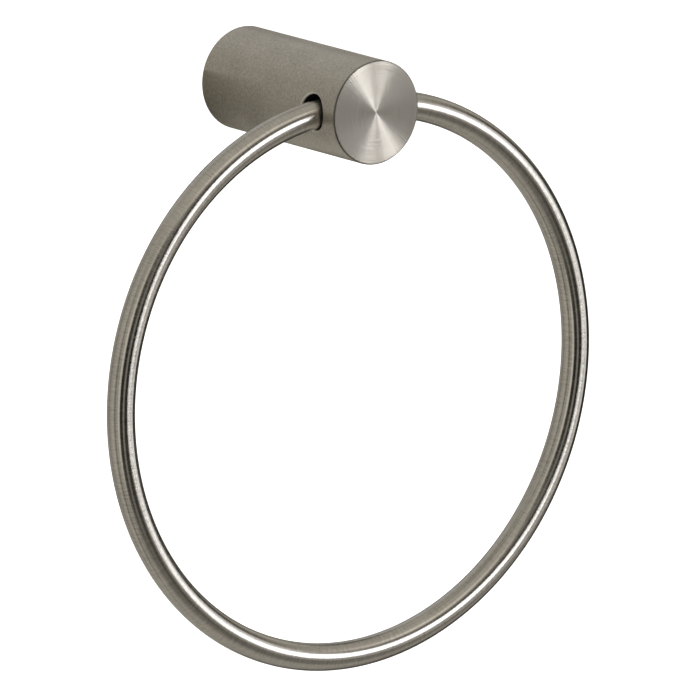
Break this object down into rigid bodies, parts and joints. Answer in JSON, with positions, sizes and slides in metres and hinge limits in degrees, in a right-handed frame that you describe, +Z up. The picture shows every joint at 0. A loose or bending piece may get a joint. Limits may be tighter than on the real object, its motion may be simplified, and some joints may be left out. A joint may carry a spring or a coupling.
{
  "type": "towel ring",
  "caption": "Wall-mounted towel ring: a round brushed-metal post on a concealed bracket, with a round-bar ring hanging loose in a cross bore near the post's front.",
  "frame": {"origin": "centre of the post's rear end on the wall plane", "axes": "+Y into the wall, so the post stands out along -Y; +Z up; +X to the right of someone who faces the wall"},
  "size_m": [0.17, 0.063, 0.1788],
  "materials": {
    "brushed_post": "satin brushed side, turned front face",
    "brushed_bar": "fine brushed across the bar",
    "bracket_metal": "as turned",
    "screw_steel": "plain steel"
  },
  "bodies": {
    "fixed_post": {"post": "brushed_post", "wall_bracket": "bracket_metal", "grub_screw": "screw_steel"},
    "hanging_ring": {"ring": "brushed_bar"}
  },
  "joints": [
    {"name": "ring_swing", "type": "hinge", "parent": "fixed_post", "child": "hanging_ring", "pos_m": [0, -0.0525, -0.0004], "axis": [-1, 0, 0], "range_deg": [-17.5, 197.5]}
  ]
}
